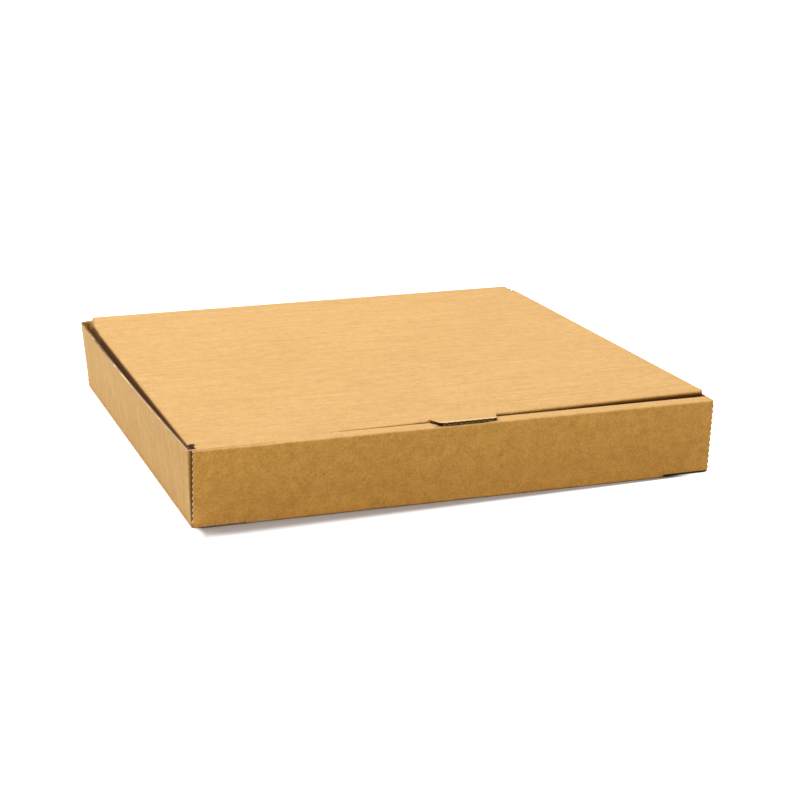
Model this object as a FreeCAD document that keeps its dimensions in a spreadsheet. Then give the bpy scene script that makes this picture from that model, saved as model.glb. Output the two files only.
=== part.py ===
"""A closed pizza box: one die-cut sheet of brown E-flute corrugated board, folded up.

The tray is the bottom, the rolled-over double front wall, the two side walls with their
corner flaps and the rear wall. The lid hangs on a crease along the top of the rear wall.
Lengths are in millimetres. The origin is the middle of the underside, the front faces -Y.
"""

import FreeCAD, Part
import operator
import os

import Sketcher

doc = FreeCAD.newDocument("pizza_box")
sheet = doc.addObject("Spreadsheet::Sheet", "sizes")


# Sizes and the rules made from them
class Size:
    """A length that carries both its value and the rule that gives it from the sheet."""

    def __init__(self, rule, value):
        self.rule = rule
        self.value = value

    def joined(self, sign, other, swapped=False):
        other = other if isinstance(other, Size) else Size(str(other), other)
        first, second = (other, self) if swapped else (self, other)
        value = SUMS[sign](first.value, second.value)
        return Size(f"({first.rule} {sign} {second.rule})", value)

    def __add__(self, other):
        return self.joined("+", other)

    def __sub__(self, other):
        return self.joined("-", other)

    def __mul__(self, other):
        return self.joined("*", other)

    def __truediv__(self, other):
        return self.joined("/", other)

    def __radd__(self, other):
        return self.joined("+", other, swapped=True)

    def __rsub__(self, other):
        return self.joined("-", other, swapped=True)

    def __rmul__(self, other):
        return self.joined("*", other, swapped=True)

    def __neg__(self):
        return self.joined("-", 0, swapped=True)


SUMS = {
    "+": operator.add,
    "-": operator.sub,
    "*": operator.mul,
    "/": operator.truediv,
}


def size(name, value, meaning):
    """Writes one driving size on the next row of the sheet."""
    row = size.rows = getattr(size, "rows", 0) + 1
    sheet.set(f"A{row}", meaning)
    sheet.set(f"B{row}", str(value))
    sheet.setAlias(f"B{row}", name)
    return Size(f"sizes.{name}", float(value))


width = size("width", 305, "outside width of the tray at its foot")
depth = size("depth", 312, "outside depth of the tray at its foot")
height = size("height", 44.5, "height of the front wall")
board = size("board", 1.6, "thickness of the corrugated board")
fold_round = size("fold_round", 1.3, "outer radius of a fold in the tray")
play = size("play", 0.4, "gap between folded layers")

front_lean = size("front_lean", 5.1, "how far the front wall leans out at its top")
strip_width = size("strip_width", 10.9, "width of the strip along the top of the front wall")
strip_rise = size("strip_rise", 0.1, "how much higher the strip is at its inner edge")
strip_inset = size("strip_inset", 0.3, "how much shorter the strip is at each end")
inner_foot = size("inner_foot", 7.6, "distance from the front to the inner layer at its foot")
inner_inset = size("inner_inset", 4.5, "how much shorter the inner layer is at each end")
lock_tab_width = size("lock_tab_width", 38, "width of a locking tab of the inner layer")
lock_tab_place = size("lock_tab_place", 78, "distance of a locking tab from the middle")
relief_length = size("relief_length", 30, "length of the cut at each end of the front fold")
relief_height = size("relief_height", 0.9, "height of the cut at each end of the front fold")

rear_height = size("rear_height", 44.9, "height of the rear wall")
edge_inset = size("edge_inset", 0.7, "how far the front wall's teeth stop short of the side")
tooth_pitch = size("tooth_pitch", 3.4, "distance between the teeth of the zigzag edges")
tooth_depth = size("tooth_depth", 0.65, "depth of the teeth of the zigzag edges")
corner_cut = size("corner_cut", 1.6, "width of the cut lower corner of the front wall")

left_height = size("left_height", 44.7, "height of the left side wall")
right_height = size("right_height", 43.9, "height of the right side wall")
side_inset = size("side_inset", 0.3, "how far the side walls stand in at their foot")
left_flare_front = size("left_flare_front", 2.0, "lean of the left wall's front end")
left_flare_rear = size("left_flare_rear", 3.6, "lean of the left wall's rear end")
right_flare_front = size("right_flare_front", 0.7, "lean of the right wall's front end")
right_flare_rear = size("right_flare_rear", 2.4, "lean of the right wall's rear end")
side_bow = size("side_bow", 1.6, "how far the top of a side wall bows out between its ends")
corner_flap = size("corner_flap", 46, "length of the flaps folded in round the corners")
corner_slant = size("corner_slant", 12, "slant of the rear corner flaps' free ends")

lid_width = size("lid_width", 302.4, "width of the lid between its side creases")
lid_shift = size("lid_shift", 0.3, "how far the lid lies to the right of the middle")
lid_setback = size("lid_setback", 6.2, "distance of the lid's front crease from the front")
lid_round = size("lid_round", 1.9, "outer radius of a fold in the lid")
lid_low = size("lid_low", -1.4, "height of the lid's front left corner over the front wall")
lid_high = size("lid_high", 3.3, "height of the lid's front right corner over the front wall")
hinge_gap = size("hinge_gap", 0.3, "gap between the rear wall and the lid above it")
hinge_inset = size("hinge_inset", 3.4, "how far the hinge crease stops short of the side crease")
side_flap_depth = size("side_flap_depth", 31, "depth of the lid's side flaps")
side_flap_lean = size("side_flap_lean", 3.2, "how far the side flaps lean in at their edge")
side_flap_start = size("side_flap_start", 4, "distance of the side flaps from the rear wall's face")
side_flap_taper = size("side_flap_taper", 16, "slant of the ends of the side flaps")
soft_fold_length = size("soft_fold_length", 22, "length of the soft end of the side creases")
soft_fold_round = size("soft_fold_round", 6, "largest radius of the soft end of a crease")
tuck_depth = size("tuck_depth", 33, "depth of the lid's front tuck flap")
tuck_lean = size("tuck_lean", 2.4, "how far the tuck flap leans in at its edge")
tuck_taper = size("tuck_taper", 14, "slant of the ends of the tuck flap")

tab_place = size("tab_place", 2.5, "distance of the thumb tab from the middle")
tab_root = size("tab_root", 39.5, "width of the thumb tab at the lid")
tab_slant_left = size("tab_slant_left", 4.2, "slant of the thumb tab's left side")
tab_slant_right = size("tab_slant_right", 2.2, "slant of the thumb tab's right side")
tab_short = size("tab_short", 2.1, "distance of the thumb tab's edge from the front wall's")
tab_corner = size("tab_corner", 2.2, "radius of the thumb tab's corners")
tab_lay = size("tab_lay", 0.15, "gap between the thumb tab and the strip under it")
flute_pitch = size("flute_pitch", 3.4, "distance between the board's flutes")
flute_paper = size("flute_paper", 0.25, "thickness of the board's papers")
flute_reach = size("flute_reach", 4, "how far the open flutes are cut in")

half = width / 2
front = -depth / 2
rear = depth / 2
lid_half = lid_width / 2
lid_left = lid_shift - lid_half
lid_right = lid_shift + lid_half
lid_front = front + lid_setback
hinge_top = rear_height + hinge_gap + board
strip_edge = front - front_lean + strip_width
doc.recompute()


# Sketches and features on a body's own planes
def body_named(name):
    body = doc.addObject("PartDesign::Body", name)
    body.Label = name
    return body


def own_plane(body, role):
    return next(plane for plane in body.Origin.OriginFeatures if plane.Role == role)


def as_size(value):
    return value if isinstance(value, Size) else Size(str(value), float(value))


def vector(point):
    across, up = map(as_size, point)
    return FreeCAD.Vector(across.value, up.value, 0)


def outline(body, name, role, level, corners, bows=None):
    """A closed outline on the plane of that role, moved to a level along its own axis.

    bows gives, for the edge that starts at a corner, the point that its arc goes through.
    """
    bows = bows or {}
    sketch = body.newObject("Sketcher::SketchObject", name)
    sketch.AttachmentSupport = [(own_plane(body, role), "")]
    sketch.MapMode = "FlatFace"
    facing = -1 if role == "XZ_Plane" else 1
    sketch.setExpression("AttachmentOffset.Base.z", (as_size(level) * facing).rule)
    count = len(corners)
    ends = []
    for index in range(count):
        start, end = vector(corners[index]), vector(corners[(index + 1) % count])
        through = vector(bows[index]) if index in bows else None
        ends.append(add_edge(sketch, start, end, through))
    for index in range(count):
        after = (index + 1) % count
        joint = (index, ends[index][1], after, ends[after][0])
        sketch.addConstraint(Sketcher.Constraint("Coincident", *joint))
    for index in range(count):
        pin(sketch, index, ends[index][0], corners[index])
    for index, through in bows.items():
        marker = sketch.addGeometry(Part.Point(vector(through)), True)
        pin(sketch, marker, 1, through)
        sketch.addConstraint(Sketcher.Constraint("PointOnObject", marker, 1, index))
    return sketch


def add_edge(sketch, start, end, through):
    """Adds a line, or an arc through a point, and tells which of its ends is the first.

    A sketch keeps its arcs anticlockwise, so one that runs clockwise is drawn end first.
    """
    if through is None:
        sketch.addGeometry(Part.LineSegment(start, end))
        return 1, 2
    if (through - start).cross(end - through).z > 0:
        sketch.addGeometry(Part.Arc(start, through, end))
        return 1, 2
    sketch.addGeometry(Part.Arc(end, through, start))
    return 2, 1


def pin(sketch, index, end, point):
    for kind, value in zip(("DistanceX", "DistanceY"), map(as_size, point)):
        rule = Sketcher.Constraint(kind, -1, 1, index, end, value.value)
        number = sketch.addConstraint(rule)
        sketch.setExpression(f"Constraints[{number}]", value.rule)


def swept(body, kind, name, sketch, length, side="One side", backwards=False):
    """A pad or a pocket of a sketch, straight along its plane's axis."""
    feature = body.newObject(f"PartDesign::{kind}", name)
    feature.Profile = sketch
    feature.SideType = side
    feature.Reversed = backwards
    feature.setExpression("Length", as_size(length).rule)
    return feature


def lofted(body, name, sketches):
    feature = body.newObject("PartDesign::AdditiveLoft", name)
    feature.Profile = sketches[0]
    feature.Sections = sketches[1:]
    feature.Ruled = True
    return feature


def mirrored(body, name, features):
    feature = body.newObject("PartDesign::Mirrored", name)
    feature.Originals = features
    feature.MirrorPlane = (own_plane(body, "YZ_Plane"), [""])
    body.Tip = feature
    return feature


def rounded(body, name, chosen, radius):
    """Rounds the edges of the body's last feature that the test picks out."""
    doc.recompute()
    base = body.Tip
    picked = [
        f"Edge{number}"
        for number, edge in enumerate(base.Shape.Edges, start=1)
        if chosen(edge)
    ]
    feature = body.newObject("PartDesign::Fillet", name)
    feature.Base = (base, picked)
    feature.setExpression("Radius", radius.rule)
    return feature


def runs_along(edge, axis):
    """Whether an edge is a straight line along X, Y or Z."""
    ends = [vertex.Point for vertex in edge.Vertexes]
    if len(ends) < 2 or edge.Curve.TypeId != "Part::GeomLine":
        return False
    along = ends[1] - ends[0]
    across = [abs(part) for part in (along.x, along.y, along.z)]
    del across["XYZ".index(axis)]
    return max(across) < 1e-6


def near(value, place):
    return abs(value - as_size(place).value) < 1e-4


# The tray: bottom, rolled-over front wall and rear wall, folded from one strip
tray = body_named("tray")


def add_strip():
    """The folded strip seen from the side, from the rear wall round to the inner layer."""
    foot = board + play
    underside = height + strip_rise - board
    section = [
        (front, 0),
        (rear, 0),
        (rear, rear_height),
        (rear - board, rear_height),
        (rear - board, board),
        (front + board, board),
        (front + board - front_lean, height - board),
        (strip_edge - board, underside),
        (front + inner_foot - board, foot),
        (front + inner_foot, foot),
        (strip_edge, height + strip_rise),
        (front - front_lean, height),
    ]
    sketch = outline(tray, "strip_section", "YZ_Plane", 0, section)
    swept(tray, "Pad", "strip", sketch, width, side="Symmetric")

    def outer_fold(edge):
        middle = edge.BoundBox.Center
        low = near(edge.BoundBox.ZMax, 0)
        if runs_along(edge, "Y"):
            return low
        over = near(middle.y, front - front_lean) and near(middle.z, height)
        back = near(middle.y, strip_edge) and near(middle.z, height + strip_rise)
        return runs_along(edge, "X") and (low or over or back)

    rounded(tray, "strip_folds", outer_fold, fold_round)


def zigzag(inset, top):
    """The outline to cut away beside a wall whose edge is a row of small teeth."""
    crest = half - inset
    steps = int((top.value - corner_cut.value) // tooth_pitch.value)
    start = top - steps * tooth_pitch
    corners = [(half + 1, -1), (crest - corner_cut, -1), (crest - corner_cut, 0)]
    for step in range(steps):
        corners.append((crest, start + step * tooth_pitch))
        corners.append((crest - tooth_depth, start + (step + 0.5) * tooth_pitch))
    return corners + [(crest, top + 1), (half + 1, top + 1)]


def cut_wall_edges():
    """The zigzag ends of the front and rear walls, and the shorter strip between them."""
    behind = front + board + play / 2
    teeth = outline(tray, "front_teeth_outline", "XZ_Plane", behind, zigzag(edge_inset, height))
    front_teeth = swept(tray, "Pocket", "front_teeth", teeth, depth, backwards=True)
    before = rear - board - play / 2
    teeth = outline(tray, "rear_teeth_outline", "XZ_Plane", before, zigzag(as_size(0), rear_height))
    rear_teeth = swept(tray, "Pocket", "rear_teeth", teeth, depth)

    ends = [
        (half - strip_inset, front + board - front_lean),
        (half + 1, front + board - front_lean),
        (half + 1, strip_edge + 1),
        (half - strip_inset, strip_edge + 1),
    ]
    sketch = outline(tray, "strip_ends_outline", "XY_Plane", height - 2 * board, ends)
    strip_ends = swept(tray, "Pocket", "strip_ends", sketch, height, backwards=True)
    mirrored(tray, "left_wall_edges", [front_teeth, rear_teeth, strip_ends])


def cut_inner_layer():
    """The inner layer ends clear of the corner flaps' folds and locks through the bottom."""
    ends = [
        (half - inner_inset, board + play / 2),
        (half + 1, board + play / 2),
        (half + 1, height - 2 * board),
        (half - inner_inset, height - 2 * board),
    ]
    behind = front + board + play / 2
    sketch = outline(tray, "inner_ends_outline", "XZ_Plane", behind, ends)
    inner_ends = swept(tray, "Pocket", "inner_ends", sketch, inner_foot)

    slot = lock_tab_width / 2 + play
    hole = [
        (lock_tab_place - slot, front + inner_foot - board - play / 2),
        (lock_tab_place + slot, front + inner_foot - board - play / 2),
        (lock_tab_place + slot, front + inner_foot + play / 2),
        (lock_tab_place - slot, front + inner_foot + play / 2),
    ]
    sketch = outline(tray, "lock_slot_outline", "XY_Plane", 0, hole)
    lock_slot = swept(tray, "Pocket", "lock_slot", sketch, board + play / 2, backwards=True)

    reach = lock_tab_width / 2
    tab = [
        (lock_tab_place - reach, board + play),
        (lock_tab_place - reach + board, play),
        (lock_tab_place + reach - board, play),
        (lock_tab_place + reach, board + play),
    ]
    place = front + inner_foot - board
    sketch = outline(tray, "lock_tab_outline", "XZ_Plane", place, tab)
    lock_tab = swept(tray, "Pad", "lock_tab", sketch, board, backwards=True)

    relief = [
        (half - relief_length, -1),
        (half + 1, -1),
        (half + 1, relief_height),
        (half - relief_length, relief_height),
    ]
    sketch = outline(tray, "relief_outline", "XZ_Plane", front + board, relief)
    relief_cut = swept(tray, "Pocket", "relief_cut", sketch, board + 1, backwards=True)
    mirrored(tray, "left_inner_layer", [inner_ends, lock_slot, lock_tab, relief_cut])


def add_side_walls():
    """The side walls and their corner flaps, each one strip bent in round both corners."""
    foot_x = half - side_inset
    flap_end = half - corner_flap
    wall_front = front + board + play
    wall_rear = rear - board - play
    flap_top = height - board - play

    def bent_strip(name, side, level, flares, top):
        """The wall and its flaps seen from above at one level."""
        share = level / top
        front_x = foot_x + flares[0] * share
        rear_x = foot_x + flares[1] * share
        front_y = wall_front - front_lean * level / height
        middle_x = (front_x + rear_x) / 2 + side_bow * share
        middle_y = (front_y + wall_rear) / 2
        bend = fold_round * 0.3
        corners = [
            (flap_end, front_y),
            (front_x - fold_round, front_y),
            (front_x, front_y + fold_round),
            (rear_x, wall_rear - fold_round),
            (rear_x - fold_round, wall_rear),
            (flap_end, wall_rear),
            (flap_end, wall_rear - board),
            (rear_x - board, wall_rear - board),
            (front_x - board, front_y + board),
            (flap_end, front_y + board),
        ]
        bows = {
            1: (front_x - bend, front_y + bend),
            2: (middle_x, middle_y),
            3: (rear_x - bend, wall_rear - bend),
            7: (middle_x - board, middle_y),
        }
        corners = [(x * side, y) for x, y in corners]
        bows = {index: (x * side, y) for index, (x, y) in bows.items()}
        return outline(tray, name, "XY_Plane", level, corners, bows)

    base = [
        (-foot_x, wall_front + fold_round),
        (board - foot_x, wall_front + fold_round),
        (board - foot_x, wall_rear - fold_round),
        (-foot_x, wall_rear - fold_round),
    ]
    sketch = outline(tray, "side_foot_outline", "XY_Plane", board / 2, base)
    foot = swept(tray, "Pad", "side_foot", sketch, board / 2 + play)
    mirrored(tray, "right_side_foot", [foot])
    for side, name, flares, top in (
        (-1, "left", (left_flare_front, left_flare_rear), left_height),
        (1, "right", (right_flare_front, right_flare_rear), right_height),
    ):
        low = bent_strip(f"{name}_low_section", side, board + play, flares, top)
        high = bent_strip(f"{name}_top_section", side, top, flares, top)
        lofted(tray, f"{name}_side_wall", [low, high])

    slant = [
        (-flap_end - corner_slant, left_height + 1),
        (1 - flap_end, left_height + 1),
        (1 - flap_end, board),
        (-flap_end, board),
        (-flap_end - corner_slant, left_height),
    ]
    sketch = outline(tray, "rear_flap_outline", "XZ_Plane", rear - board - play / 2, slant)
    reach = 2 * board + play
    rear_flap = swept(tray, "Pocket", "rear_flap_end", sketch, reach, backwards=True)

    lean = front_lean * flap_top / height
    lean_inner = (front_lean + inner_foot - strip_width) * flap_top / height
    under_strip = [
        (front + board - lean, flap_top),
        (front + inner_foot - board - lean_inner, flap_top),
        (strip_edge - board, height + strip_rise - board),
        (front + board - front_lean, height - board),
    ]
    start = strip_inset - half
    sketch = outline(tray, "flap_gap_outline", "YZ_Plane", start, under_strip)
    flap_gap = swept(tray, "Pocket", "flap_gap", sketch, corner_flap, backwards=True)
    mirrored(tray, "right_flap_ends", [rear_flap, flap_gap])


# The lid: top panel, side flaps, front tuck flap and thumb tab
lid = body_named("lid")
lid_join = lid_front + lid_round + board
corner_drop = 1 - 0.5 ** 0.5
lid_run = rear - lid_front


def lid_level(side, place):
    """Height of the lid's face at its left (-1) or right (1) fold, at a place along Y."""
    front_rise = lid_low if side < 0 else lid_high
    return hinge_top + (height + front_rise - hinge_top) * (rear - place) / lid_run


def add_top():
    """The top panel and both side flaps, whose creases end in a soft bend by the hinge."""
    stations = [
        (lid_join, lid_round),
        (rear - soft_fold_length, lid_round),
        (rear - soft_fold_length * 0.75, (lid_round + soft_fold_round) / 2),
        (rear - soft_fold_length * 0.5, soft_fold_round),
        (rear - side_flap_start, soft_fold_round * 0.85),
    ]

    def section(number, place, bend):
        corners = []
        bows = {}
        for side in (-1, 1):
            level = lid_level(side, place)
            edge = lid_left if side < 0 else lid_right
            inner_bend = bend - board
            fold = [
                (edge - bend * side, level),
                (edge, level - bend),
                (edge - side_flap_lean * side, level - side_flap_depth),
                (edge - (side_flap_lean + board) * side, level - side_flap_depth),
                (edge - board * side, level - bend),
                (edge - bend * side, level - board),
            ]
            outer = (edge - bend * corner_drop * side, level - bend * corner_drop)
            inner_drop = board + inner_bend * corner_drop
            inner = (edge - inner_drop * side, level - inner_drop)
            first = len(corners)
            if side < 0:
                corners += fold
                bows.update({first: outer, first + 4: inner})
            else:
                corners += fold[::-1]
                bows.update({first: inner, first + 4: outer})
        return outline(lid, f"top_section_{number}", "XZ_Plane", place, corners, bows)

    sections = [section(number, *station) for number, station in enumerate(stations)]
    lofted(lid, "top", sections)

    floor = height - side_flap_depth - board
    under_fold = height + lid_low - lid_round - board / 2
    front_end = [
        (lid_join - 1, floor - 9),
        (lid_join + side_flap_taper, floor - 9),
        (lid_join + board, under_fold),
        (lid_join - 1, under_fold),
    ]
    sketch = outline(lid, "flap_front_outline", "YZ_Plane", 0, front_end)
    swept(lid, "Pocket", "flap_front_ends", sketch, 2 * width, side="Symmetric")
    tail = rear - side_flap_start
    rear_end = [
        (tail - soft_fold_length - side_flap_taper, floor - 9),
        (tail + 1, floor - 9),
        (tail + 1, hinge_top - soft_fold_round - board),
        (tail - soft_fold_length / 2, hinge_top - soft_fold_round - 2 * board),
    ]
    sketch = outline(lid, "flap_rear_outline", "YZ_Plane", 0, rear_end)
    swept(lid, "Pocket", "flap_rear_ends", sketch, 2 * width, side="Symmetric")

    def face_end(place):
        left, right = lid_level(-1, place), lid_level(1, place)
        start, end = lid_left + hinge_inset, lid_right - hinge_inset
        return [(start, left - board), (end, right - board), (end, right), (start, left)]

    near_end = outline(lid, "hinge_strip_near", "XZ_Plane", tail, face_end(tail))
    far_end = outline(lid, "hinge_strip_far", "XZ_Plane", rear, face_end(rear))
    lofted(lid, "hinge_strip", [near_end, far_end])


def add_tuck_flap():
    """The front crease and the tuck flap under it, notched where the thumb tab came out."""
    sections = []
    for side, name in ((-1, "tuck_left_section"), (1, "tuck_right_section")):
        level = lid_level(side, lid_join)
        crease = lid_level(side, lid_front)
        foot = crease - tuck_depth
        inner_bend = lid_round - board
        corners = [
            (lid_join, level),
            (lid_front + lid_round, crease),
            (lid_front, crease - lid_round),
            (lid_front + tuck_lean, foot),
            (lid_front + tuck_lean + board, foot),
            (lid_front + board, crease - lid_round),
            (lid_front + lid_round, crease - board),
            (lid_join, level - board),
        ]
        outer = (lid_front + lid_round * corner_drop, crease - lid_round * corner_drop)
        inner_drop = board + inner_bend * corner_drop
        inner = (lid_front + inner_drop, crease - inner_drop)
        place = lid_left + lid_round if side < 0 else lid_right - lid_round
        sections.append(outline(lid, name, "YZ_Plane", place, corners, {1: outer, 5: inner}))
    lofted(lid, "tuck_flap", sections)

    under = height - tuck_depth - 2 * board
    reach = lid_join - lid_front + 1
    for side, edge, name in ((-1, lid_left, "left_tuck_end"), (1, lid_right, "right_tuck_end")):
        slant = [
            (edge + side, under),
            (edge + side, height - 3 * board),
            (edge - lid_round * side, height - 3 * board),
            (edge - tuck_taper * side, under),
        ]
        sketch = outline(lid, name + "_outline", "XZ_Plane", lid_join, slant)
        swept(lid, "Pocket", name, sketch, reach, backwards=True)


def add_tab():
    """The thumb tab: it rises from the lid's front crease and lies on the rolled strip."""
    left = tab_place - tab_root / 2
    right = tab_place + tab_root / 2
    tip = front - front_lean + tab_short
    lie = height + strip_rise + tab_lay + board
    reach = lid_front - tip
    start = lid_left + lid_round
    span = lid_width - 2 * lid_round

    def level_at(across, place):
        share = (across - start) / span
        low = lid_level(-1, place)
        return low + (lid_level(1, place) - low) * share

    sections = []
    for across, name in ((left, "tab_left_section"), (right, "tab_right_section")):
        corners = [
            (lid_join, level_at(across, lid_join)),
            (lid_front, level_at(across, lid_front)),
            (strip_edge, lie),
            (tip, lie),
            (tip, lie - board),
            (strip_edge, lie - board),
            (lid_front, level_at(across, lid_front) - board),
            (lid_join, level_at(across, lid_join) - board),
        ]
        sections.append(outline(lid, name, "YZ_Plane", across, corners))
    lofted(lid, "tab", sections)

    for side, root, slant in ((1, left, tab_slant_left), (-1, right, tab_slant_right)):
        outside = [
            (root - side, lid_front),
            (root, lid_front),
            (root + slant * 0.75 * side, tip + tab_corner),
            (root + (slant + tab_corner) * side, tip),
            (root + (slant + tab_corner) * side, tip - 1),
            (root - side, tip - 1),
        ]
        bend = tab_corner * corner_drop
        through = (root + (slant * 0.9 + bend) * side, tip + bend)
        name = "tab_left_side" if side > 0 else "tab_right_side"
        level = height - 2 * board
        sketch = outline(lid, name + "_outline", "XY_Plane", level, outside, {2: through})
        swept(lid, "Pocket", name, sketch, 4 * board, backwards=True)

    left_under = level_at(left, lid_front) - board
    right_under = level_at(right, lid_front) - board
    notch = [
        (left, left_under),
        (right, right_under),
        (right - tab_slant_right, right_under - reach),
        (left + tab_slant_left, left_under - reach),
    ]
    sketch = outline(lid, "tab_notch_outline", "XZ_Plane", lid_join, notch)
    swept(lid, "Pocket", "tab_notch", sketch, lid_join - lid_front + 1, backwards=True)
    return left + tab_slant_left, right - tab_slant_right, tip, lie


def open_flutes(start, end, tip, lie):
    """The open ends of the flutes along the thumb tab's cut edge, one row over the other."""
    wide = flute_pitch * 0.36
    narrow = flute_pitch * 0.1
    roof = lie - flute_paper
    ground = lie - board + flute_paper
    first = start + flute_pitch / 2
    rows = (
        ("upper", first, ground + flute_paper, roof, narrow, wide),
        ("lower", first + flute_pitch / 2, ground, roof - flute_paper, wide, narrow),
    )
    pockets = []
    for name, middle, bottom, top, below, above in rows:
        corners = [
            (middle - below, bottom),
            (middle + below, bottom),
            (middle + above, top),
            (middle - above, top),
        ]
        sketch = outline(lid, f"{name}_flute_outline", "XZ_Plane", tip - 1, corners)
        pockets.append(swept(lid, "Pocket", f"{name}_flute", sketch, flute_reach + 1))
    count = int((end.value - start.value) // flute_pitch.value)
    row = lid.newObject("PartDesign::LinearPattern", "flutes")
    row.Originals = pockets
    row.Direction = (own_plane(lid, "X_Axis"), [""])
    row.setExpression("Length", (flute_pitch * (count - 1)).rule)
    row.Occurrences = count
    lid.Tip = row


add_strip()
cut_wall_edges()
cut_inner_layer()
add_side_walls()
add_top()
add_tuck_flap()
open_flutes(*add_tab())
doc.recompute()

for thing in doc.Objects:
    if {"Invalid", "Error"} & set(thing.State):
        raise RuntimeError(f"{thing.Name} did not build: {thing.State}")
for body in (tray, lid):
    shape = body.Shape
    if shape.isNull() or not shape.isValid() or len(shape.Solids) != 1:
        raise RuntimeError(f"{body.Label} is not one sound solid")

os.makedirs("parts", exist_ok=True)
for body in (tray, lid):
    body.Shape.exportStep(f"parts/{body.Label}.step")
    print(body.Label, round(body.Shape.Volume / 1000, 1), "cm3")
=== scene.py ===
"""Looks of a closed pizza box folded from one sheet of brown corrugated board."""

import math

import bmesh
import bpy
from mathutils import Matrix, Vector


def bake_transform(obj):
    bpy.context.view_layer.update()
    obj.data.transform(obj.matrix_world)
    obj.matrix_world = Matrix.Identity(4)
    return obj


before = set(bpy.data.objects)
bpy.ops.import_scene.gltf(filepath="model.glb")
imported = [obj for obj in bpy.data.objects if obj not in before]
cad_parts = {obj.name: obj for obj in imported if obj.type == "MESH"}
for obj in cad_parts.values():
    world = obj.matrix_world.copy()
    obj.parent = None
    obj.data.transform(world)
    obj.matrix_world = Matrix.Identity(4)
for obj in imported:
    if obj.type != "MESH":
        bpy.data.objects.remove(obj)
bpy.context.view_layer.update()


# The tray: bottom, walls and corner flaps of one die-cut sheet of brown corrugated board.
# The front wall is rolled over and locks itself; nothing is glued, taped or stapled. Cut edges
# show pale torn paper, and the corner flaps folded in behind the front wall lie in shade.
class Wire:
    """One value, vector or colour in a material's maths, taken from a node's output."""

    def __init__(self, tree, socket=None):
        self.tree = tree
        self.socket = socket

    def node(self, kind, *values, out=0, **settings):
        """Adds a node with its settings, links or sets its inputs, and gives its output."""
        made = self.tree.nodes.new(kind)
        for name, value in settings.items():
            setattr(made, name, value)
        for slot_shade, value in enumerate(values):
            if isinstance(value, Wire):
                self.tree.links.new(value.socket, made.inputs[slot_shade])
            elif value is not None:
                made.inputs[slot_shade].default_value = value
        return Wire(self.tree, made.outputs[out])

    def into(self, node, name):
        """Links this value to the input of that name."""
        self.tree.links.new(self.socket, node.inputs[name])

    def maths(self, operation, first, second):
        return self.node("ShaderNodeMath", first, second, operation=operation)

    def __add__(self, other):
        return self.maths("ADD", self, other)

    def __sub__(self, other):
        return self.maths("SUBTRACT", self, other)

    def __rsub__(self, other):
        return self.maths("SUBTRACT", other, self)

    def __mul__(self, other):
        return self.maths("MULTIPLY", self, other)

    def __truediv__(self, other):
        return self.maths("DIVIDE", self, other)

    def __abs__(self):
        return self.maths("ABSOLUTE", self, None)

    __radd__ = __add__
    __rmul__ = __mul__

    def step(self, first, last):
        """0 up to first, 1 from last on and smooth between; first may be the larger one."""
        limits = (first, last, 0.0, 1.0)
        return self.node("ShaderNodeMapRange", self, *limits, interpolation_type="SMOOTHSTEP")

    def place(self):
        """The place on the piece, in metres along the frame's axes."""
        return self.node("ShaderNodeTexCoord", out=3)

    def facing(self):
        """The way that the surface faces."""
        return self.node("ShaderNodeTexCoord", out=1)

    def axes(self):
        return [self.node("ShaderNodeSeparateXYZ", self, out=axis) for axis in range(3)]

    def stretched(self, x, y, z):
        """This vector or colour times one number along each axis."""
        return self.node("ShaderNodeVectorMath", self, (x, y, z), operation="MULTIPLY")

    def noise(self, scale, detail, roughness=0.5):
        """Soft noise round 0.5 at this place, with scale spots to the metre."""
        return self.node("ShaderNodeTexNoise", self, None, scale, detail, roughness)

    def openness(self, reach):
        """1 in the open, and less where other surfaces lie within reach, in metres."""
        return self.node("ShaderNodeAmbientOcclusion", None, reach, out=1, samples=8)

    def mixed(self, first, second):
        """The first colour where this is 0, the second where it is 1."""
        pair = [value if isinstance(value, Wire) else (*value, 1) for value in (first, second)]
        unused = [None] * 5
        return self.node("ShaderNodeMix", self, *unused, *pair, out=2, data_type="RGBA")


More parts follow.
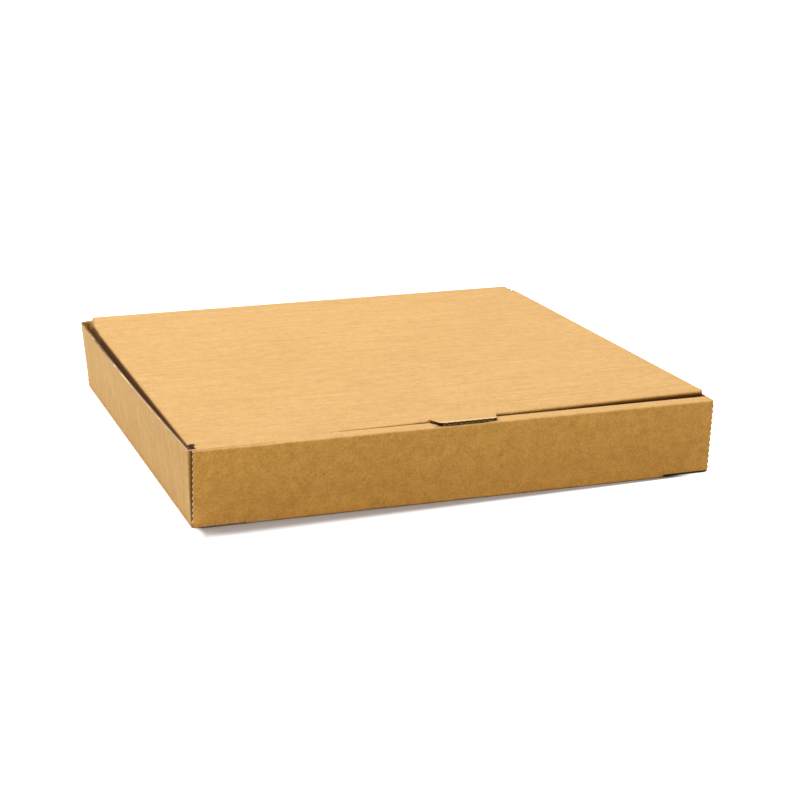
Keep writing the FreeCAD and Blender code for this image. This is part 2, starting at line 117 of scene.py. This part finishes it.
def kraft_board(name):
    """Brown kraft paper: fibre streaks, fine grain, cloudy patches, a few specks, and painted
    light by facing.
    """
    dark_fibre = (0.545, 0.272, 0.060)
    light_fibre = (0.745, 0.410, 0.112)
    speck_brown = (0.26, 0.13, 0.045)
    level_light_tint = (1.01, 1.13, 1.66)
    sideways_light_tint = (1.08, 1.21, 1.62)
    front_light_tint = (1.06, 1.03, 0.86)
    streaks_across = (30, 700, 700)
    streaks_upright = (300, 300, 25)
    relief_depth = 0.0004

    board = bpy.data.materials.new(name)
    board.use_nodes = True
    shader = board.node_tree.nodes["Principled BSDF"]
    shader.inputs["Roughness"].default_value = 0.75
    shader.inputs["Specular IOR Level"].default_value = 0.15
    shader.inputs["Sheen Weight"].default_value = 0.03
    shader.inputs["Sheen Roughness"].default_value = 0.5

    start = Wire(board.node_tree)
    place = start.place()
    nx, ny, nz = start.facing().axes()
    level = abs(nz).step(0.4, 0.8)
    sideways = abs(nx).step(0.5, 0.8)
    front = ny.step(-0.3, -0.7)

    # The fibres run across the box, and up its side walls. The front wall is mostly speckled.
    across = place.stretched(*streaks_across).noise(1.0, 3.0)
    upright = place.stretched(*streaks_upright).noise(1.0, 2.0)
    streaks = across + (upright - across) * sideways
    grain = place.noise(750.0, 4.0, 0.6)
    speckle = place.noise(900.0, 2.0)
    clouds = place.noise(14.0, 3.0)
    blotches = place.noise(170.0, 2.0)
    fibres = streaks + (speckle - streaks) * front * 0.85
    tone = fibres * 0.36 + grain * 0.36 + clouds * 0.08 + blotches * 0.2
    tone = (tone - 0.5) * (front * 0.5 + 1.0) + 0.5
    colour = tone.step(0.3, 0.7).mixed(dark_fibre, light_fibre)
    specks = place.noise(420.0, 1.0).step(0.74, 0.79)
    colour = (specks * 0.6).mixed(colour, speck_brown)
    # Painted light: faces that lie level, face sideways or face the front get tints for how the
    # light falls on them.
    colour = level.mixed(colour, colour.stretched(*level_light_tint))
    colour = sideways.mixed(colour, colour.stretched(*sideways_light_tint))
    colour = front.mixed(colour, colour.stretched(*front_light_tint))

    relief = grain * 0.7 + fibres * 0.3
    bump = start.node("ShaderNodeBump", 0.12, relief_depth, None, relief)
    bump.into(shader, "Normal")
    return board, shader, colour


pale_paper = (0.86, 0.62, 0.38)
flute_shade_brown = (0.075, 0.031, 0.006)
# Painted shade, and a deeper painted shade for holes, slots and flute hollows.
shade = (0.055, 0.022, 0.003)
deep_shade = (0.028, 0.008, 0.001)

# The masks are worked out in millimetres.
millimetres = (1000, 1000, 1000)
board, shader, colour = kraft_board("tray_board")
place = colour.place()
x, y, z = place.stretched(*millimetres).axes()
nx, ny, nz = colour.facing().axes()
torn = place.noise(900.0, 3.0)
ragged = place.noise(55.0, 3.0)
left = x.step(1.0, -1.0)
right = x.step(-1.0, 1.0)
faces_front = ny.step(-0.3, -0.7)
rim = z.step(42.7, 43.0) * nz.step(0.5, 0.9)

# How far a place lies behind the front wall's outer face, which leans out towards its top.
front_foot = 156.0
front_height = 44.5
front_overhang = 5.1
behind_front = y + z * (front_overhang / front_height) + front_foot
near_front = behind_front.step(4.0, 3.0)
outer_layer = behind_front.step(3.0, 2.0)

# The zigzag ends of the front wall, cut by the rule of a die: pale where the cut is fresh,
# and more so at the left end.
teeth_from = 150.4
teeth_to = 152.2
ends = abs(x).step(teeth_from, teeth_from + 0.5) * abs(x).step(teeth_to, teeth_to - 0.2)
teeth = ends * near_front * abs(nx).step(0.3, 0.6) * (left * 0.8 + 0.2)
colour = (teeth * (torn.step(0.3, 0.6) * 0.3 + 0.7)).mixed(colour, pale_paper)

# The corner flaps behind those ends get painted shade, darkest beside the teeth, though not at the
# foot.
flap_from = 149.0
flap_to = 154.0
flap_shade = behind_front.step(1.5, 1.9) * near_front * faces_front * z.step(1.5, 5.0)
flap_shade = flap_shade * abs(x).step(flap_from, flap_from + 1.0) * abs(x).step(flap_to, flap_to - 2.1)
colour = (flap_shade * 0.8).mixed(colour, shade)

# The front wall's foot catches the light of the table.
table_light = (1.22, 1.22, 1.22)
table_light_height = 16.0
low = z.step(table_light_height, 0.0) * faces_front * outer_layer
colour = low.mixed(colour, colour.stretched(*table_light))

# The side walls' cut tops: a thin line of pale paper outside, broken towards the rear, and inside
# the flutes' brown in painted shade. The line follows the walls' outer faces, which are bowed and
# splayed.
bow_middle = -2.5
bow_half_length = 158.5
bow = 1.6
splay = 0.8
left_wall_outside = 156.6
right_wall_less = 1.25
top_width = 3.4
pale_line_width = 1.0
strip_depth = 12.5
along = (y - bow_middle) / bow_half_length
outside = left_wall_outside - right * right_wall_less - along * along * bow + along * splay
inward = outside - abs(x)
beside_strip = right * behind_front.step(strip_depth, strip_depth - 1.0)
top = rim * inward.step(top_width, top_width - 0.4) * (1 - beside_strip)
# Painted shade: the flutes inside the cut tops are darkened.
colour = (top * behind_front.step(2.0, 3.0) * 0.9).mixed(colour, flute_shade_brown)
unbroken = y.step(70.0, 20.0) * 0.45 + 0.1
line = top * inward.step(pale_line_width, pale_line_width - 0.3)
line = line * (ragged.step(0.46, 0.6) * 0.45 + unbroken)
colour = (line * torn.step(0.2, 0.45)).mixed(colour, pale_paper)

# The open corner at the strip's left end: a hole painted in deep shade, and in front of it the
# pale edge of the corner flap.
corner_right = -148.6
corner_left = -153.2
hole_rear = -146.0
lip_right = -150.5
corner = rim * x.step(corner_right, corner_right - 0.7) * x.step(corner_left, corner_left + 0.2)
hole_shade = corner * behind_front.step(3.2, 4.2) * y.step(hole_rear, hole_rear - 1.0)
colour = hole_shade.mixed(colour, deep_shade)
lip = corner * behind_front.step(3.6, 2.8) * behind_front.step(1.0, 1.4)
lip = lip * x.step(lip_right, lip_right - 0.6)
colour = (lip * 0.7).mixed(colour, pale_paper)

# The front wall's foot: torn fibres at its left, and at its right the slot of the lock, painted in
# deep shade.
torn_foot_right = -104.0
foot = z.step(2.6, 0.6) * x.step(torn_foot_right, torn_foot_right - 8.0)
foot = foot * behind_front.step(1.0, 0.4)
colour = (foot * torn.step(0.42, 0.58) * 0.8).mixed(colour, pale_paper)
slot_left = 123.0
slot_right = 151.0
slot_shade = z.step(2.0, 1.6) * x.step(slot_left, slot_left + 1.0) * x.step(slot_right, slot_right - 0.8)
colour = (slot_shade * outer_layer * 0.95).mixed(colour, deep_shade)

# The strip in front of the thumb tab, in the tab's shade while the lid is closed.
tab_shade_reach = 0.006
tab_shade_left = -19.0
tab_shade_right = 16.0
tab_shade_fade = 2.5
below_tab = z.step(43.4, 43.9) * nz.step(0.2, 0.5) * y.step(-157.5, -158.2)
below_tab = below_tab * x.step(tab_shade_left, tab_shade_left + tab_shade_fade)
below_tab = below_tab * x.step(tab_shade_right, tab_shade_right - tab_shade_fade)
covered = colour.openness(tab_shade_reach).step(0.99, 0.8)
colour = (below_tab * covered * 0.92).mixed(colour, shade)
colour.into(shader, "Base Color")
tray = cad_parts["tray"]
tray.data.materials.clear()
tray.data.materials.append(board)

# The lid: top panel, two side flaps, tuck flap and thumb tab of the same sheet, creased and
# folded. Along the thumb tab's cut edge its flutes are holes between pale papers, in painted
# shade.
gap_shade_brown = (0.145, 0.058, 0.003)
tab_line_paper = (0.97, 0.76, 0.48)
cut_edge_shade_brown = (0.30, 0.17, 0.08)
fold_shade_tint = (0.45, 0.38, 0.25)
gap_reach = 0.012
board, shader, colour = kraft_board("lid_board")
x, y, z = colour.place().stretched(*millimetres).axes()
nx, ny, nz = colour.facing().axes()
openness = colour.openness(gap_reach)

# The folded flaps get painted deep shade where the tray covers them, and none when the lid is
# open.
# The soft fold at the left rear lies further out and gets a lighter painted shade.
soft_fold_front = 108.0
side_flap_front = -151.5
tuck_flap_front = -157.0
tuck_flap_rear = -140.0
outward = x * nx
soft_fold = x.step(0.0, -1.0) * y.step(soft_fold_front, soft_fold_front + 14.0)
fold_shade = outward.step(15.0, 60.0) * soft_fold * openness.step(1.0, 0.88)
colour = fold_shade.mixed(colour, colour.stretched(*fold_shade_tint))
side_flap = outward.step(45.0, 110.0) * y.step(side_flap_front, side_flap_front + 1.0)
side_shade = openness.step(0.97, 0.3) * (1 - soft_fold * 0.6) * 0.96
colour = (side_flap * side_shade).mixed(colour, gap_shade_brown)
tuck_flap = ny.step(-0.25, -0.75) * y.step(tuck_flap_front, tuck_flap_front + 2.0)
tuck_flap = tuck_flap * y.step(tuck_flap_rear, tuck_flap_rear - 1.0)
colour = (tuck_flap * openness.step(1.0, 0.6) * 0.93).mixed(colour, shade)

# The panel's left front corner is cut away above the open corner of the tray; the cut is painted
# in deep shade.
cut_right = -146.5
cut_rear = -142.5
cut_shade = nz.step(0.3, 0.7) * x.step(cut_right, cut_right - 0.8)
cut_shade = cut_shade * y.step(cut_rear, cut_rear - 1.0)
colour = cut_shade.mixed(colour, deep_shade)

# The thumb tab's cut edge, under a pale line along its top front. The cut face is brown, partly
# painted shade, and its flute holes, slanted sides and underside are in painted shade.
tab_front = -158.9
tab_root = -151.0
tab_line_half_width = 21.0
flutes_half_width = 30.0
flutes_rear = -154.6
flutes_bottom = 44.92
flutes_top = 46.16
tab_line = nz.step(0.5, 0.9) * y.step(-156.8, -158.0)
tab_line = tab_line * abs(x).step(tab_line_half_width, tab_line_half_width - 1.0)
colour = (tab_line * 0.55).mixed(colour, tab_line_paper)
# Painted shade: the cut face's brown is darkened.
edge_shade = y.step(tab_front + 0.4, tab_front) * ny.step(-0.4, -0.8)
colour = (edge_shade * z.step(46.1, 46.0) * 0.6).mixed(colour, cut_edge_shade_brown)
# Painted shade in the flute holes.
flute_hole_shade = y.step(tab_front - 0.07, tab_front) * y.step(flutes_rear, flutes_rear - 0.4)
flute_hole_shade = flute_hole_shade * z.step(flutes_bottom, flutes_bottom + 0.05) * z.step(flutes_top, flutes_top - 0.05)
flute_hole_shade = flute_hole_shade * abs(x).step(flutes_half_width, flutes_half_width - 2.0)
colour = flute_hole_shade.mixed(colour, deep_shade)
# Painted shade on the tab's slanted sides and on its underside.
tab_side_shade = abs(nx).step(0.25, 0.5) * y.step(tab_root, tab_root - 0.6) * z.step(46.3, 46.1)
colour = (tab_side_shade * 0.9).mixed(colour, deep_shade)
tab_underside_shade = nz.step(-0.4, -0.9) * y.step(tab_root + 1.0, tab_root)
colour = (tab_underside_shade * 0.9).mixed(colour, shade)
colour.into(shader, "Base Color")
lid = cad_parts["lid"]
lid.data.materials.clear()
lid.data.materials.append(board)

# The hinge crease: the outer paper of the board, bent between the rear wall and the lid.
# It is part of the same sheet.
crease_length = 0.2946
crease_height = 0.00085
crease_middle = (0.0003, 0.15592, 0.045025)
crease_form = bmesh.new()
bmesh.ops.create_grid(crease_form, x_segments=60, y_segments=5, size=0.5)
bmesh.ops.scale(crease_form, vec=(crease_length, crease_height, 1), verts=crease_form.verts)
quarter_turn = Matrix.Rotation(-math.pi / 2, 3, "X")
bmesh.ops.rotate(crease_form, matrix=quarter_turn, verts=crease_form.verts)
bmesh.ops.translate(crease_form, vec=crease_middle, verts=crease_form.verts)
crease_mesh = bpy.data.meshes.new("hinge_crease")
crease_form.to_mesh(crease_mesh)
crease_form.free()
crease = bpy.data.objects.new("hinge_crease", crease_mesh)
bpy.context.scene.collection.objects.link(crease)
paper, shader, colour = kraft_board("crease_paper")
colour.into(shader, "Base Color")
crease.data.materials.append(paper)
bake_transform(crease)

# The studio's floor: a sheet of white paper, laid just under the tray's bottom. Where the camera
# sees it, it glows white, apart from the grey shadow along the box's front.
lit_paper = (0.8, 0.8, 0.8)
shadow_paper = (0.58, 0.58, 0.59)
floor_half_size = 12
floor_drop = 0.0001
floor_form = bmesh.new()
bmesh.ops.create_grid(floor_form, x_segments=1, y_segments=1, size=floor_half_size)
bmesh.ops.translate(floor_form, vec=(0, 0, -floor_drop), verts=floor_form.verts)
floor_mesh = bpy.data.meshes.new("floor")
floor_form.to_mesh(floor_mesh)
floor_form.free()
floor = bpy.data.objects.new("floor", floor_mesh)
bpy.context.scene.collection.objects.link(floor)
white = bpy.data.materials.new("floor_paper")
white.use_nodes = True
shader = white.node_tree.nodes["Principled BSDF"]
shader.inputs["Roughness"].default_value = 1
shader.inputs["Specular IOR Level"].default_value = 0
shader.inputs["Emission Strength"].default_value = 1
start = Wire(white.node_tree)
x, y = start.place().stretched(*millimetres).axes()[:2]

# The shadow reaches further out in front towards the left, by shadow_growth for each
# millimetre, and it ends at the box's corners.
shadow_start = -157
shadow_right_end = 150
shadow_growth = 0.047
least_reach = 0.8
reach = start.maths("MAXIMUM", (shadow_right_end - x) * shadow_growth, least_reach)
past_front = ((shadow_start - y) / reach).step(0.55, 1.75)
past_left = x.step(-146.0, -153.0)
past_right = x.step(128.0, 146.0)
past_rear = y.step(158.0, 176.0)
bright = start.maths("MAXIMUM", past_front, past_left + past_right + past_rear)
seen = start.node("ShaderNodeLightPath", out=0)
glow = (seen * bright).mixed((0, 0, 0), (1, 1, 1))
glow.into(shader, "Emission Color")
paint = seen.mixed(lit_paper, shadow_paper)
paint.into(shader, "Base Color")
floor_mesh.materials.append(white)


# The studio's lights: a high softbox behind on the left, a wide one overhead and a dim even
# room, which looks white behind the box.
def softbox(name, place, size, power):
    """A square white light that faces the middle of the box."""
    light = bpy.data.lights.new(name, "AREA")
    light.shape = "SQUARE"
    light.size = size
    light.energy = power
    lamp = bpy.data.objects.new(name, light)
    lamp.location = place
    lamp.rotation_euler = (-Vector(place)).to_track_quat("-Z", "Y").to_euler()
    bpy.context.scene.collection.objects.link(lamp)


softbox("key", place=(-1.0, 1.0, 1.6), size=1.4, power=27)
softbox("top", place=(0.1, 0.0, 2.2), size=2.4, power=43)
world = bpy.data.worlds.new("room")
bpy.context.scene.world = world
world.use_nodes = True
background = world.node_tree.nodes["Background"]
background.inputs["Strength"].default_value = 1
room_grey = (0.3, 0.3, 0.3)
seen = Wire(world.node_tree).node("ShaderNodeLightPath", out=0)
room = seen.mixed(room_grey, (1, 1, 1))
room.into(background, "Color")

# The camera, at the photograph's viewing angle: its place and turn were found from the box's
# corners in the photograph, with the focal length in pixels of the 800 pixel frame.
frame_pixels = 800
focal_pixels = 1998.3
pitch, yaw, roll = map(math.radians, (15.437, 18.536, -0.211))
camera_data = bpy.data.cameras.new("camera")
camera_data.sensor_width = 36
camera_data.lens = focal_pixels / frame_pixels * camera_data.sensor_width
camera = bpy.data.objects.new("camera", camera_data)
turned = Matrix.Rotation(-yaw, 4, "Z") @ Matrix.Rotation(math.pi / 2 - pitch, 4, "X")
camera.rotation_euler = (turned @ Matrix.Rotation(roll, 4, "Z")).to_euler()
camera.location = (-0.3668, -1.1443, 0.3485)
bpy.context.scene.collection.objects.link(camera)
bpy.context.scene.camera = camera
bpy.context.scene.view_settings.view_transform = "Standard"
